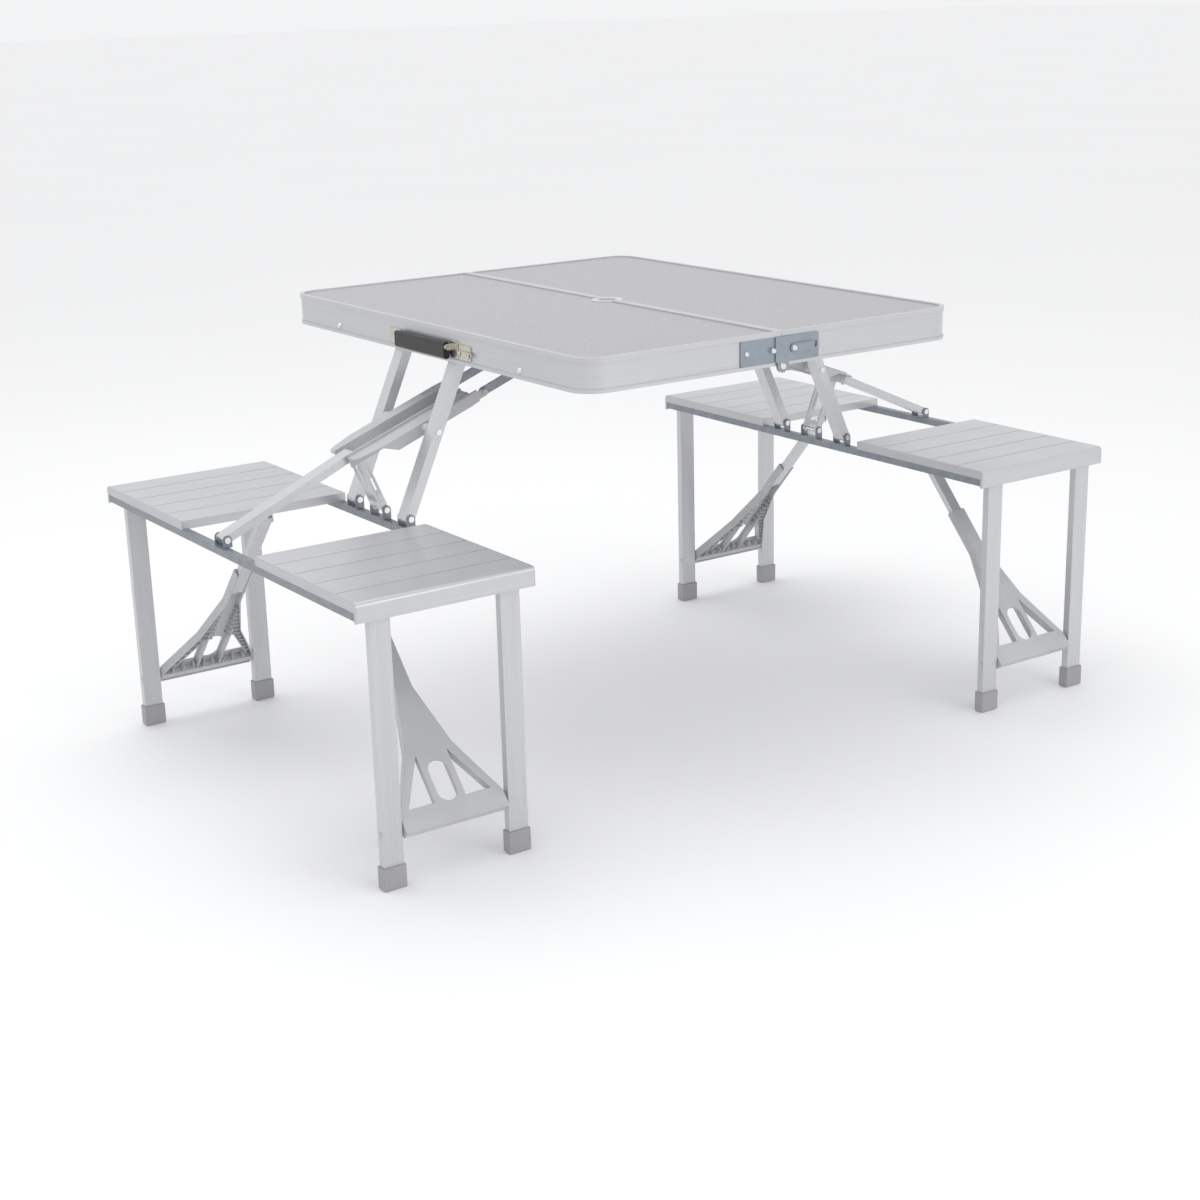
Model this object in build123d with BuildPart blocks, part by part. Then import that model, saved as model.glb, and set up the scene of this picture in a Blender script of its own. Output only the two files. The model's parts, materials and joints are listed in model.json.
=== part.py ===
"""Folding picnic table: a suitcase tabletop in two halves with two benches that stow inside it.

Millimetres. The origin is on the ground under the middle of the tabletop.
X runs across the split, towards the benches. Y runs along the split. Z is up.
Left is -X (the side with the carrying handle), front is -Y.
"""

import os
from math import atan2, cos, degrees, hypot, radians, sin

from build123d import *

os.makedirs("parts", exist_ok=True)

LEFT, RIGHT = -1, 1
FRONT, REAR = -1, 1
SIDES = {"left": LEFT, "right": RIGHT}
ENDS = {"front": FRONT, "rear": REAR}

# Tabletop
TABLE_LENGTH = 850
HALF_WIDTH = 334
TABLE_TOP = 672
FRAME_HEIGHT = 48
FRAME_BOTTOM = TABLE_TOP - FRAME_HEIGHT
CORNER_RADIUS = 40
SPLIT_GAP = 0.25
BEAD_DEPTH = 1.5
WEB_THICKNESS = 2
TOP_BEAD = 7
LOWER_BEAD = 5
LIP_WIDTH = 7
LIP_HEIGHT = 2
PANEL_THICKNESS = 4
PANEL_TOP = TABLE_TOP - LIP_HEIGHT
PANEL_BOTTOM = PANEL_TOP - PANEL_THICKNESS
LEDGE_WIDTH = 10
LEDGE_THICKNESS = 1.5
WEB_FACE = HALF_WIDTH - BEAD_DEPTH
END_FACE = TABLE_LENGTH / 2 - BEAD_DEPTH

# Umbrella socket
BOSS_RADIUS = 25
BOSS_BORE = 15
BOSS_DEPTH = 16
BOSS_RISE = 1

# Fold hinge and latches on the two ends of the tabletop
FOLD_Z = FRAME_BOTTOM - 1
PLATE_BOTTOM = FRAME_BOTTOM + 5
PLATE_TOP = 665
PLATE_THICKNESS = 2
PLATE_GAP = 0.2
LEFT_PLATE_OUTER = 74
LEFT_PLATE_INNER = 9
RIGHT_PLATE_OUTER = 65
RIGHT_PLATE_OVERLAP = 13
LUG_RADIUS = 9
LUG_RELIEF = 0.3
FOLD_PIN_RADIUS = 3
LATCH_Z = 647
LATCH_REACH = 38
LATCH_PIVOT_X = 19.5
LATCH_HEIGHT = 13
LATCH_THICKNESS = 2
LATCH_STUD_RADIUS = 2.5
LATCH_SLOT = 5.6
PLATE_RIVET_X = 63.5

# Benches
BENCH_INNER = 414
BENCH_OUTER = 684
BENCH_MIDDLE = (BENCH_INNER + BENCH_OUTER) / 2
SEAT_TOP = 404
SEAT_INNER_Y = 123
SEAT_OUTER_Y = 412
SLAT_COUNT = 5
SLAT_GAP = 1.6
SLAT_HEIGHT = 13
SLAT_SKIN = 2.5
APRON_HEIGHT = 27
APRON_THICKNESS = 2.5
APRON_RADIUS = 6
TRIM_THICKNESS = 2
RAIL_WIDTH = 12
RAIL_TOP = SEAT_TOP - SLAT_HEIGHT
RAIL_HEIGHT = 11
RAIL_WALL = 1.5
RAIL_HALF_LENGTH = 408

# Legs
LEG_Y = 400
HINGE_Z = 383
LEG_WIDTH = 30
LEG_DEPTH = 12
LEG_WALL = 1.5
LEG_INNER = 451
LEG_OUTER = 647
CAP_WIDTH = 34
CAP_DEPTH = 17
CAP_HEIGHT = 33
CAP_FLOOR = 5
ROD_RADIUS = 3
RUNNING = 0.05

# Leg brace: a flat tube from the seat's inner edge, knee-hinged to a moulded yoke
BRACE_Y = 128
BRACE_PIN_Z = 80
TUBE_WIDTH = 20
TUBE_DEPTH = 10
TUBE_WALL = 1.5
YOKE_WEB = 2.5
YOKE_WEB_LOW = 5.5
YOKE_SKIRT = 6
YOKE_WALL = 2.5
YOKE_SLEEVE = 50
YOKE_HALF_WIDTH = 80
YOKE_FOOT = 12

# Table supports: uprights, cross yoke, straps, outer arm and prop
UPRIGHT_Y = 78
UPRIGHT_WIDTH = 24
UPRIGHT_DEPTH = 15
BAR_WALL = 1.5
UPPER_PIVOT = (306.5, 656)
LOWER_PIVOT = (420, 405)
ARM_PIVOT = (674, 402)
STRAP_PIVOT = (18, 656)
STOWED_Z = 655
CROSS_RATIO = 0.482
ARM_WIDTH = 25
ARM_DEPTH = 12
KNEE_ANGLE = 18
STRAP_Y = 43
STRAP_WIDTH = 3
STRAP_DEPTH = 13
STRAP_HEAD = 0.8
PROP_Y = 16
PROP_WIDTH = 3.5
PROP_DEPTH = 11
PROP_LENGTH = 88
PROP_ANGLE = 67
PROP_SLIT = 34
PROP_SLIT_WIDTH = 4
SHELL_TOP = 9.5
SHELL_WEB = 2
SHELL_SKIRT = 8
SHELL_HALF_WIDTH = 52
SHELL_WALL = 3
SHELL_END_HALF_WIDTH = 42
PIN_RADIUS = 3
BRACKET_THICKNESS = 1.6


def distance(a, b):
    """Length between two points of the X-Z or Y-Z plane."""
    return hypot(b[0] - a[0], b[1] - a[1])


def towards(a, b, length):
    """The point at a given length from a, in the direction of b."""
    share = length / distance(a, b)
    return (a[0] + share * (b[0] - a[0]), a[1] + share * (b[1] - a[1]))


def polar(a, angle, length):
    """The point at a given length and angle in degrees from a."""
    return (a[0] + length * cos(radians(angle)), a[1] + length * sin(radians(angle)))


def heading(a, b):
    """The direction in degrees from a to b."""
    return degrees(atan2(b[1] - a[1], b[0] - a[0]))


# The support linkage lies flat under the panel when stowed, and that fixes its pivots.
UPRIGHT_LENGTH = distance(UPPER_PIVOT, LOWER_PIVOT)
CROSS = towards(LOWER_PIVOT, UPPER_PIVOT, CROSS_RATIO * UPRIGHT_LENGTH)
STOWED_DROP = UPPER_PIVOT[1] - STOWED_Z
STOWED_LOWER = (
    UPPER_PIVOT[0] - (UPRIGHT_LENGTH**2 - STOWED_DROP**2) ** 0.5,
    STOWED_Z,
)
STOWED_CROSS = towards(STOWED_LOWER, UPPER_PIVOT, CROSS_RATIO * UPRIGHT_LENGTH)
STOWED_ARM = (
    ARM_PIVOT[0] + STOWED_LOWER[0] - LOWER_PIVOT[0],
    ARM_PIVOT[1] + STOWED_LOWER[1] - LOWER_PIVOT[1],
)
STRAP_SPARE = STOWED_CROSS[0] - STRAP_PIVOT[0]
SHELL_UPPER = (distance(CROSS, STRAP_PIVOT) - STRAP_SPARE) / 2
TAB = towards(CROSS, STRAP_PIVOT, SHELL_UPPER)
SHELL_TURN = heading(CROSS, TAB)
OPEN_REACH = (ARM_PIVOT[0] - CROSS[0], ARM_PIVOT[1] - CROSS[1])
STOWED_REACH = (STOWED_ARM[0] - STOWED_CROSS[0], STOWED_ARM[1] - STOWED_CROSS[1])
OPEN_KNEE = -KNEE_ANGLE
STOWED_KNEE = OPEN_KNEE - SHELL_TURN
SHELL_LOWER = (
    OPEN_REACH[0] ** 2 + OPEN_REACH[1] ** 2 - STOWED_REACH[0] ** 2 - STOWED_REACH[1] ** 2
) / (
    2 * (OPEN_REACH[0] * cos(radians(OPEN_KNEE)) + OPEN_REACH[1] * sin(radians(OPEN_KNEE)))
    - 2 * (STOWED_REACH[0] * cos(radians(STOWED_KNEE)) + STOWED_REACH[1] * sin(radians(STOWED_KNEE)))
)
KNEE = polar(CROSS, OPEN_KNEE, SHELL_LOWER)

# The leg brace folds flat with its knee: its two parts share the length so that it does.
BRACE_DROP = HINGE_Z - BRACE_PIN_Z
BRACE_SPAN = distance((BRACE_Y, HINGE_Z), (LEG_Y, BRACE_PIN_Z))
BRACE_SPARE = BRACE_DROP - (LEG_Y - BRACE_Y)
YOKE_LENGTH = (BRACE_SPAN + BRACE_SPARE) / 2
TUBE_LENGTH = BRACE_SPAN - YOKE_LENGTH
BRACE_KNEE = towards((BRACE_Y, HINGE_Z), (LEG_Y, BRACE_PIN_Z), TUBE_LENGTH)
BRACE_ANGLE = heading((BRACE_Y, HINGE_Z), (LEG_Y, BRACE_PIN_Z))


def across(y):
    """A sketch plane at Y = y, with local x along X and local y along Z."""
    return Plane(origin=(0, y, 0), x_dir=(1, 0, 0), z_dir=(0, -1, 0))


def along(x):
    """A sketch plane at X = x, with local x along Y and local y along Z."""
    return Plane(origin=(x, 0, 0), x_dir=(0, 1, 0), z_dir=(1, 0, 0))


def keep(piece, name):
    """Label a finished piece and write it."""
    piece.part.label = name
    export_step(piece.part, f"parts/{name}.step")


def mirrored(side, point):
    """A point of the right-hand side, moved to the given side."""
    return (side * point[0], point[1])


def half_outline(side, near, inset):
    """Half a tabletop outline from |x| = near, shrunk by inset, with rounded outer corners."""
    width = HALF_WIDTH - inset - near
    with BuildSketch(mode=Mode.PRIVATE) as outline:
        with Locations((side * (near + width / 2), 0)):
            Rectangle(width, TABLE_LENGTH - 2 * inset)
        corners = outline.vertices().sort_by(Axis.X)
        fillet(corners[2:] if side == RIGHT else corners[:2], radius=CORNER_RADIUS - inset)
    return outline.sketch


def ring(side, bottom, height, inset, depth, near=SPLIT_GAP):
    """A band of the frame: the outline shrunk by inset, with everything past depth left open."""
    with BuildSketch(Plane.XY.offset(bottom)) as profile:
        add(half_outline(side, near, inset))
        add(half_outline(side, near + depth, inset + depth), mode=Mode.SUBTRACT)
    extrude(profile.sketch, amount=height)


def bar(start, end, y, width, depth, wall=0):
    """A round-ended bar in the X-Z plane, hollow along its length if it has a wall."""
    length = distance(start, end)
    middle = ((start[0] + end[0]) / 2, (start[1] + end[1]) / 2)
    turn = heading(start, end)
    with BuildSketch(across(y)) as profile:
        with Locations(middle):
            SlotCenterToCenter(length, depth, rotation=turn)
    extrude(profile.sketch, amount=width / 2, both=True)
    if wall:
        with BuildSketch(across(y)) as profile:
            with Locations(middle):
                Rectangle(length + 2 * depth, depth - 2 * wall, rotation=turn)
        extrude(profile.sketch, amount=width / 2 - wall, both=True, mode=Mode.SUBTRACT)


def pin_across(point, y, length, radius, mode=Mode.ADD):
    """A round pin or bore along Y through a point of the X-Z plane."""
    with BuildSketch(across(y)) as profile:
        with Locations(point):
            Circle(radius)
    extrude(profile.sketch, amount=length / 2, both=True, mode=mode)


def pin_along(point, x, length, radius, mode=Mode.ADD):
    """A round pin or bore along X through a point of the Y-Z plane."""
    with BuildSketch(along(x)) as profile:
        with Locations(point):
            Circle(radius)
    extrude(profile.sketch, amount=length / 2, both=True, mode=mode)


# ---------------------------------------------------------------- tabletop


def build_frame(side_name, side):
    """The bent edge extrusion of one half, with its beads, panel lip and panel ledge."""
    with BuildPart() as frame:
        ring(side, FRAME_BOTTOM, FRAME_HEIGHT, BEAD_DEPTH, WEB_THICKNESS)
        ring(side, FRAME_BOTTOM, LOWER_BEAD, 0, BEAD_DEPTH + WEB_THICKNESS)
        ring(side, TABLE_TOP - TOP_BEAD, TOP_BEAD, 0, BEAD_DEPTH + WEB_THICKNESS)
        ring(side, PANEL_TOP, LIP_HEIGHT, 0, LIP_WIDTH)
        ring(side, PANEL_BOTTOM - LEDGE_THICKNESS, LEDGE_THICKNESS, BEAD_DEPTH, LEDGE_WIDTH)
        with Locations((0, 0, TABLE_TOP - FRAME_HEIGHT / 2)):
            Cylinder(BOSS_RADIUS, 2 * FRAME_HEIGHT, mode=Mode.SUBTRACT)
        for end in ENDS.values():
            with Locations((0, end * (END_FACE - LUG_RELIEF + BEAD_DEPTH), FRAME_BOTTOM)):
                Box(2 * LUG_RADIUS + 6, 2 * BEAD_DEPTH, 4 * LUG_RADIUS, mode=Mode.SUBTRACT)
    keep(frame, f"{side_name}_frame")


def build_panel(side_name, side):
    """The laminate sheet of one half, with its share of the umbrella hole."""
    with BuildPart() as panel:
        with BuildSketch(Plane.XY.offset(PANEL_BOTTOM)):
            add(half_outline(side, SPLIT_GAP + BEAD_DEPTH + WEB_THICKNESS, BEAD_DEPTH + WEB_THICKNESS))
            Circle(BOSS_RADIUS, mode=Mode.SUBTRACT)
        extrude(amount=PANEL_THICKNESS)
    keep(panel, f"{side_name}_panel")


def build_boss(side_name, side):
    """Half of the moulded umbrella socket."""
    with BuildPart() as boss:
        with BuildSketch(Plane.XY.offset(PANEL_TOP + BOSS_RISE - BOSS_DEPTH)):
            Circle(BOSS_RADIUS)
            Circle(BOSS_BORE, mode=Mode.SUBTRACT)
            with Locations((side * (SPLIT_GAP - BOSS_RADIUS), 0)):
                Rectangle(2 * BOSS_RADIUS, 3 * BOSS_RADIUS, mode=Mode.SUBTRACT)
        extrude(amount=BOSS_DEPTH)
    keep(boss, f"{side_name}_umbrella_boss")


def fold_plate(end, low_x, high_x, face, thickness, lug):
    """A hinge plate on one end of the tabletop, with an optional lug round the fold pin."""
    with BuildSketch(across(end * (face + thickness / 2))) as profile:
        with Locations(((low_x + high_x) / 2, (PLATE_BOTTOM + PLATE_TOP) / 2)):
            RectangleRounded(high_x - low_x, PLATE_TOP - PLATE_BOTTOM, 3)
        if lug:
            with Locations((0, FOLD_Z)):
                Circle(LUG_RADIUS)
            with Locations((0, (FOLD_Z + PLATE_BOTTOM + LUG_RADIUS) / 2)):
                Rectangle(2 * LUG_RADIUS, PLATE_BOTTOM + LUG_RADIUS - FOLD_Z)
            with Locations((0, FOLD_Z)):
                Circle(FOLD_PIN_RADIUS + RUNNING, mode=Mode.SUBTRACT)
    extrude(profile.sketch, amount=thickness / 2, both=True)


def build_hinge_plates():
    """The two steel hinge plates of each half, one per end of the tabletop."""
    outer_face = END_FACE + PLATE_THICKNESS + PLATE_GAP
    with BuildPart() as left_plates:
        for end in ENDS.values():
            inner = LEFT_PLATE_INNER - LUG_RADIUS
            fold_plate(end, -LEFT_PLATE_OUTER, inner, END_FACE, PLATE_THICKNESS, True)
    keep(left_plates, "left_hinge_plates")
    with BuildPart() as right_plates:
        for end in ENDS.values():
            fold_plate(end, -RIGHT_PLATE_OVERLAP, RIGHT_PLATE_OUTER, outer_face, PLATE_THICKNESS, True)
            fold_plate(
                end, LUG_RADIUS + 1, RIGHT_PLATE_OUTER, END_FACE, PLATE_THICKNESS + PLATE_GAP, False
            )
    keep(right_plates, "right_hinge_plates")


def rivet(x, z, end, face, reach, radius, head_radius, head):
    """A rivet standing out of an end plate: a shank from the face and a domed head past it."""
    with BuildSketch(across(end * face)) as profile:
        with Locations((x, z)):
            Circle(radius)
    extrude(profile.sketch, amount=-end * reach)
    with BuildSketch(across(end * (face + reach))) as profile:
        with Locations((x, z)):
            Circle(head_radius)
    extrude(profile.sketch, amount=-end * head, taper=30)


def build_plate_rivets():
    """Fold pins, latch studs and plate rivets: one set on each half."""
    outer_face = END_FACE + 2 * PLATE_THICKNESS + PLATE_GAP
    lever_face = outer_face + PLATE_GAP + LATCH_THICKNESS
    with BuildPart() as left_rivets:
        for end in ENDS.values():
            pin_reach = outer_face + PLATE_GAP - END_FACE + 0.1
            rivet(0, FOLD_Z, end, END_FACE - 0.1, pin_reach, FOLD_PIN_RADIUS, 5, 1.8)
            rivet(
                LATCH_PIVOT_X - LATCH_REACH, LATCH_Z, end, END_FACE + PLATE_THICKNESS,
                lever_face + PLATE_GAP - END_FACE - PLATE_THICKNESS, LATCH_STUD_RADIUS, 4, 1.5,
            )
            rivet(-PLATE_RIVET_X, LATCH_Z, end, END_FACE + PLATE_THICKNESS, 0.4, 3.5, 3.8, 1.6)
    keep(left_rivets, "left_plate_rivets")
    with BuildPart() as right_rivets:
        for end in ENDS.values():
            rivet(
                LATCH_PIVOT_X, LATCH_Z, end, outer_face,
                PLATE_GAP + LATCH_THICKNESS + PLATE_GAP, LATCH_STUD_RADIUS, 4.2, 1.8,
            )
    keep(right_rivets, "right_plate_rivets")


def build_latch_lever(end_name, end):
    """The flat locking lever of one end: a pivot hole and an open hook slot for the stud."""
    face = END_FACE + 2 * PLATE_THICKNESS + 2 * PLATE_GAP
    tip = LATCH_PIVOT_X + LATCH_REACH
    with BuildPart() as lever:
        with BuildSketch(across(end * (face + LATCH_THICKNESS / 2))):
            with Locations(((LATCH_PIVOT_X + tip) / 2, LATCH_Z)):
                SlotCenterToCenter(LATCH_REACH, LATCH_HEIGHT)
            with Locations((LATCH_PIVOT_X, LATCH_Z)):
                Circle(LATCH_STUD_RADIUS + RUNNING, mode=Mode.SUBTRACT)
            with Locations((tip, LATCH_Z)):
                Circle(LATCH_SLOT / 2, mode=Mode.SUBTRACT)
            with Locations((tip, LATCH_Z + LATCH_HEIGHT / 2)):
                Rectangle(LATCH_SLOT, LATCH_HEIGHT, mode=Mode.SUBTRACT)
        extrude(amount=LATCH_THICKNESS / 2, both=True)
    keep(lever, f"{end_name}_latch_lever")


# ---------------------------------------------------------------- carrying handle and clasp

GRIP_LOW_Y = -81
GRIP_HIGH_Y = 63
GRIP_BOTTOM = 629
GRIP_TOP = 654
GRIP_THICKNESS = 10
HANDLE_X = -341
HANDLE_Z = 647
HANDLE_PIN = 2
BRACKET_PLATE = 2
CLASP_Y = -110
CLASP_Z = 640
CLASP_REACH = 28
CLASP_WIDTH = 9
CLASP_THICKNESS = 2


def build_handle_grip():
    """The moulded carrying grip, with pivot bores in its two ends."""
    middle_y = (GRIP_LOW_Y + GRIP_HIGH_Y) / 2
    with BuildPart() as grip:
        with BuildSketch(across(middle_y)):
            with Locations((HANDLE_X, (GRIP_BOTTOM + GRIP_TOP) / 2)):
                RectangleRounded(GRIP_THICKNESS, GRIP_TOP - GRIP_BOTTOM, 4.5)
        extrude(amount=(GRIP_HIGH_Y - GRIP_LOW_Y) / 2, both=True)
        for y in (GRIP_LOW_Y, GRIP_HIGH_Y):
            pin_across((HANDLE_X, HANDLE_Z), y, 16, HANDLE_PIN + RUNNING, Mode.SUBTRACT)
    keep(grip, "handle_grip")


def clasp_plate():
    """The clasp's base plate on the frame, with the headed pin that its hook swings on."""
    pin_reach = BRACKET_PLATE + CLASP_THICKNESS + 0.6
    with BuildSketch(along(-WEB_FACE)) as profile:
        with Locations((CLASP_Y - CLASP_REACH / 2 + 3, CLASP_Z + 2)):
            RectangleRounded(CLASP_REACH + 4, 22, 2)
    extrude(profile.sketch, amount=-BRACKET_PLATE)
    with BuildSketch(along(-WEB_FACE)) as profile:
        with Locations((CLASP_Y, CLASP_Z)):
            Circle(HANDLE_PIN)
    extrude(profile.sketch, amount=-pin_reach)
    with BuildSketch(along(-WEB_FACE - pin_reach)) as profile:
        with Locations((CLASP_Y, CLASP_Z)):
            Circle(3.6)
    extrude(profile.sketch, amount=-1.4, taper=25)


def build_handle_fittings():
    """The handle's two plated end brackets, each with a lug and a pivot pin, and the clasp plate."""
    with BuildPart() as brackets:
        for edge, outwards, width in ((GRIP_HIGH_Y, 1, 34), (GRIP_LOW_Y, -1, 22)):
            plate_y = edge + outwards * (0.6 + width / 2)
            with BuildSketch(along(-WEB_FACE)):
                with Locations((plate_y, (GRIP_BOTTOM + GRIP_TOP) / 2 + 1)):
                    RectangleRounded(width, GRIP_TOP - GRIP_BOTTOM - 1, 2)
            extrude(amount=-BRACKET_PLATE)
            lug_y = edge + outwards * 3
            with BuildSketch(across(lug_y)):
                with Locations((HANDLE_X, HANDLE_Z)):
                    Circle(4.5)
                with Locations(((HANDLE_X - WEB_FACE) / 2, HANDLE_Z)):
                    Rectangle(-WEB_FACE - HANDLE_X, 9)
            extrude(amount=2.4, both=True)
            pin_across((HANDLE_X, HANDLE_Z), edge - outwards * 1, 8, HANDLE_PIN)
        clasp_plate()
    keep(brackets, "handle_fittings")


def build_clasp():
    """The swinging clasp hook beside the handle, and its catch on the other half."""
    hook_face = WEB_FACE + BRACKET_PLATE + 0.3
    with BuildPart() as hook:
        with BuildSketch(along(-hook_face)):
            with Locations((CLASP_Y - CLASP_REACH / 2, CLASP_Z)):
                SlotCenterToCenter(CLASP_REACH, CLASP_WIDTH)
            with Locations((CLASP_Y, CLASP_Z)):
                Circle(HANDLE_PIN + RUNNING, mode=Mode.SUBTRACT)
            with Locations((CLASP_Y - CLASP_REACH, CLASP_Z)):
                Circle(HANDLE_PIN + 0.5, mode=Mode.SUBTRACT)
            with Locations((CLASP_Y - CLASP_REACH, CLASP_Z - CLASP_WIDTH / 2)):
                Rectangle(2 * HANDLE_PIN + 1, CLASP_WIDTH, mode=Mode.SUBTRACT)
        extrude(amount=-CLASP_THICKNESS)
    keep(hook, "clasp_hook")
    catch_z = 2 * FOLD_Z - (CLASP_Z - CLASP_REACH)
    with BuildPart() as catch:
        with BuildSketch(along(WEB_FACE)):
            with Locations((CLASP_Y, catch_z + 6.5)):
                RectangleRounded(20, 20, 2)
        extrude(amount=BRACKET_PLATE)
        with BuildSketch(along(WEB_FACE + BRACKET_PLATE)):
            with Locations((CLASP_Y, catch_z)):
                Circle(HANDLE_PIN)
        extrude(amount=CLASP_THICKNESS + 1)
    keep(catch, "clasp_catch")


# ---------------------------------------------------------------- table supports

EAR_RADIUS = 8
EAR_GAP = 0.4
SCREW_Y = 263.5
SCREW_Z = 636


def ear_pair(side, pivot, y, span, mount_z):
    """Two bracket ears round a pivot, joined by a base plate lying on a surface at mount_z."""
    gap = span / 2 + EAR_GAP
    rise = 1 if mount_z > pivot[1] else -1
    x = side * pivot[0]
    for outwards in (-1, 1):
        with BuildSketch(across(y + outwards * (gap + BRACKET_THICKNESS / 2))) as profile:
            with Locations((x, pivot[1])):
                Circle(EAR_RADIUS - 1)
            with Locations((x, (pivot[1] + mount_z) / 2)):
                Rectangle(2 * EAR_RADIUS - 2, abs(mount_z - pivot[1]))
            with Locations((x, pivot[1])):
                Circle(PIN_RADIUS + RUNNING, mode=Mode.SUBTRACT)
        extrude(profile.sketch, amount=BRACKET_THICKNESS / 2, both=True)
    with Locations((x, y, mount_z - rise * BRACKET_THICKNESS / 2)):
        Box(2 * EAR_RADIUS - 2, 2 * gap + 2 * BRACKET_THICKNESS, BRACKET_THICKNESS)


def headed_pin(point, y, span):
    """A pin across a pair of ears, with a low head at each end."""
    reach = span / 2 + EAR_GAP + BRACKET_THICKNESS
    pin_across(point, y, 2 * reach + 1, PIN_RADIUS)
    for outwards in (-1, 1):
        pin_across(point, y + outwards * (reach + 0.8), 1.2, PIN_RADIUS + 1.6)


def build_table_brackets(side_name, side):
    """Steel brackets under the panel that carry the uprights and the straps."""
    with BuildPart() as brackets:
        for end in ENDS.values():
            ear_pair(side, UPPER_PIVOT, end * UPRIGHT_Y, UPRIGHT_WIDTH, PANEL_BOTTOM)
            ear_pair(side, STRAP_PIVOT, end * STRAP_Y, STRAP_WIDTH, PANEL_BOTTOM)
    keep(brackets, f"{side_name}_table_brackets")
    with BuildPart() as fasteners:
        for end in ENDS.values():
            headed_pin(mirrored(side, UPPER_PIVOT), end * UPRIGHT_Y, UPRIGHT_WIDTH)
            headed_pin(mirrored(side, STRAP_PIVOT), end * STRAP_Y, STRAP_WIDTH)
            with BuildSketch(along(side * WEB_FACE)):
                with Locations((end * SCREW_Y, SCREW_Z)):
                    Circle(4.5)
            extrude(amount=side * 2.4, taper=25)
    keep(fasteners, f"{side_name}_frame_fasteners")


def build_uprights(side_name, side):
    """The pair of aluminium uprights between the bench's inner rail and the tabletop."""
    upper = mirrored(side, UPPER_PIVOT)
    lower = mirrored(side, LOWER_PIVOT)
    cross = mirrored(side, CROSS)
    with BuildPart() as uprights:
        for end in ENDS.values():
            bar(lower, upper, end * UPRIGHT_Y, UPRIGHT_WIDTH, UPRIGHT_DEPTH, BAR_WALL)
            for point in (upper, lower, cross):
                pin_across(point, end * UPRIGHT_Y, UPRIGHT_WIDTH + 2, PIN_RADIUS + RUNNING, Mode.SUBTRACT)
    keep(uprights, f"{side_name}_uprights")
    inner = SHELL_HALF_WIDTH - SHELL_WALL + 1
    outer = UPRIGHT_Y + UPRIGHT_WIDTH / 2 + 0.2
    with BuildPart() as pins:
        for end in ENDS.values():
            pin_across(cross, end * (inner + outer) / 2, outer - inner, PIN_RADIUS)
            pin_across(cross, end * (outer + 0.6), 1.2, PIN_RADIUS + 1.6)
    keep(pins, f"{side_name}_cross_pins")


SHELL_LOW = -SHELL_LOWER - 12
SHELL_HIGH = SHELL_UPPER - 12
SHELL_WEB_END = SHELL_UPPER - 22
SHELL_SHOULDER = 45
SHELL_FLANGE = 2.6
SKIRT_START = -74
SKIRT_FULL = -52
TROUGH_HALF_WIDTH = 18.3
TROUGH_WALL = 3
TROUGH_RISE = 4
FLOOR_DROP = 8
FLOOR_THICKNESS = 1.8
FLOOR_START = -34
STRAP_SLOT_START = 58
STRAP_SLOT = STRAP_WIDTH + 2
TAB_INNER = STRAP_Y + STRAP_WIDTH / 2 + 1.6
TAB_RADIUS = 5.8
BOSS_OUTER = UPRIGHT_Y - UPRIGHT_WIDTH / 2 - 0.4


def finish_side(side):
    """Move a piece built on the right-hand side over to the left if it belongs there."""
    if side == LEFT:
        mirror(about=Plane.YZ, mode=Mode.REPLACE)


def shell_plane(rise):
    """The right-hand cross yoke's plan plane: local x along its line, towards the tabs."""
    turn = radians(SHELL_TURN)
    normal = Vector(sin(turn), 0, -cos(turn))
    origin = Vector(CROSS[0], 0, CROSS[1]) + normal * rise
    return Plane(origin=origin, x_dir=(cos(turn), 0, sin(turn)), z_dir=normal)


def shell_point(reach, rise):
    """The X-Z point at a reach along the cross yoke's line and a rise above it."""
    turn = radians(SHELL_TURN)
    return (
        CROSS[0] + reach * cos(turn) + rise * sin(turn),
        CROSS[1] + reach * sin(turn) - rise * cos(turn),
    )


def shell_outline(inset):
    """Plan outline of the cross yoke, from its rounded lower end to its two strap tabs."""
    shoulder = SHELL_LOW + SHELL_SHOULDER
    neck = SHELL_UPPER - 30
    with BuildSketch(mode=Mode.PRIVATE) as outline:
        with BuildLine():
            Polyline(
                (SHELL_LOW + inset, inset - SHELL_END_HALF_WIDTH),
                (shoulder, inset - SHELL_HALF_WIDTH),
                (neck, inset - SHELL_HALF_WIDTH),
                (SHELL_HIGH - inset, inset - TAB_INNER - SHELL_WALL),
                (SHELL_HIGH - inset, TAB_INNER + SHELL_WALL - inset),
                (neck, SHELL_HALF_WIDTH - inset),
                (shoulder, SHELL_HALF_WIDTH - inset),
                (SHELL_LOW + inset, SHELL_END_HALF_WIDTH - inset),
                close=True,
            )
        make_face()
        fillet(outline.vertices().group_by(Axis.X)[0], radius=14 - inset)
    return outline.sketch


def shell_band(rise, height, start, end, half_width, middle=0, mode=Mode.ADD):
    """A block along the cross yoke's line, from start to end, height tall from a rise up."""
    with BuildSketch(shell_plane(rise)) as profile:
        with Locations(((start + end) / 2, middle)):
            Rectangle(end - start, 2 * half_width)
    extrude(profile.sketch, amount=height, mode=mode)


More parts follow.
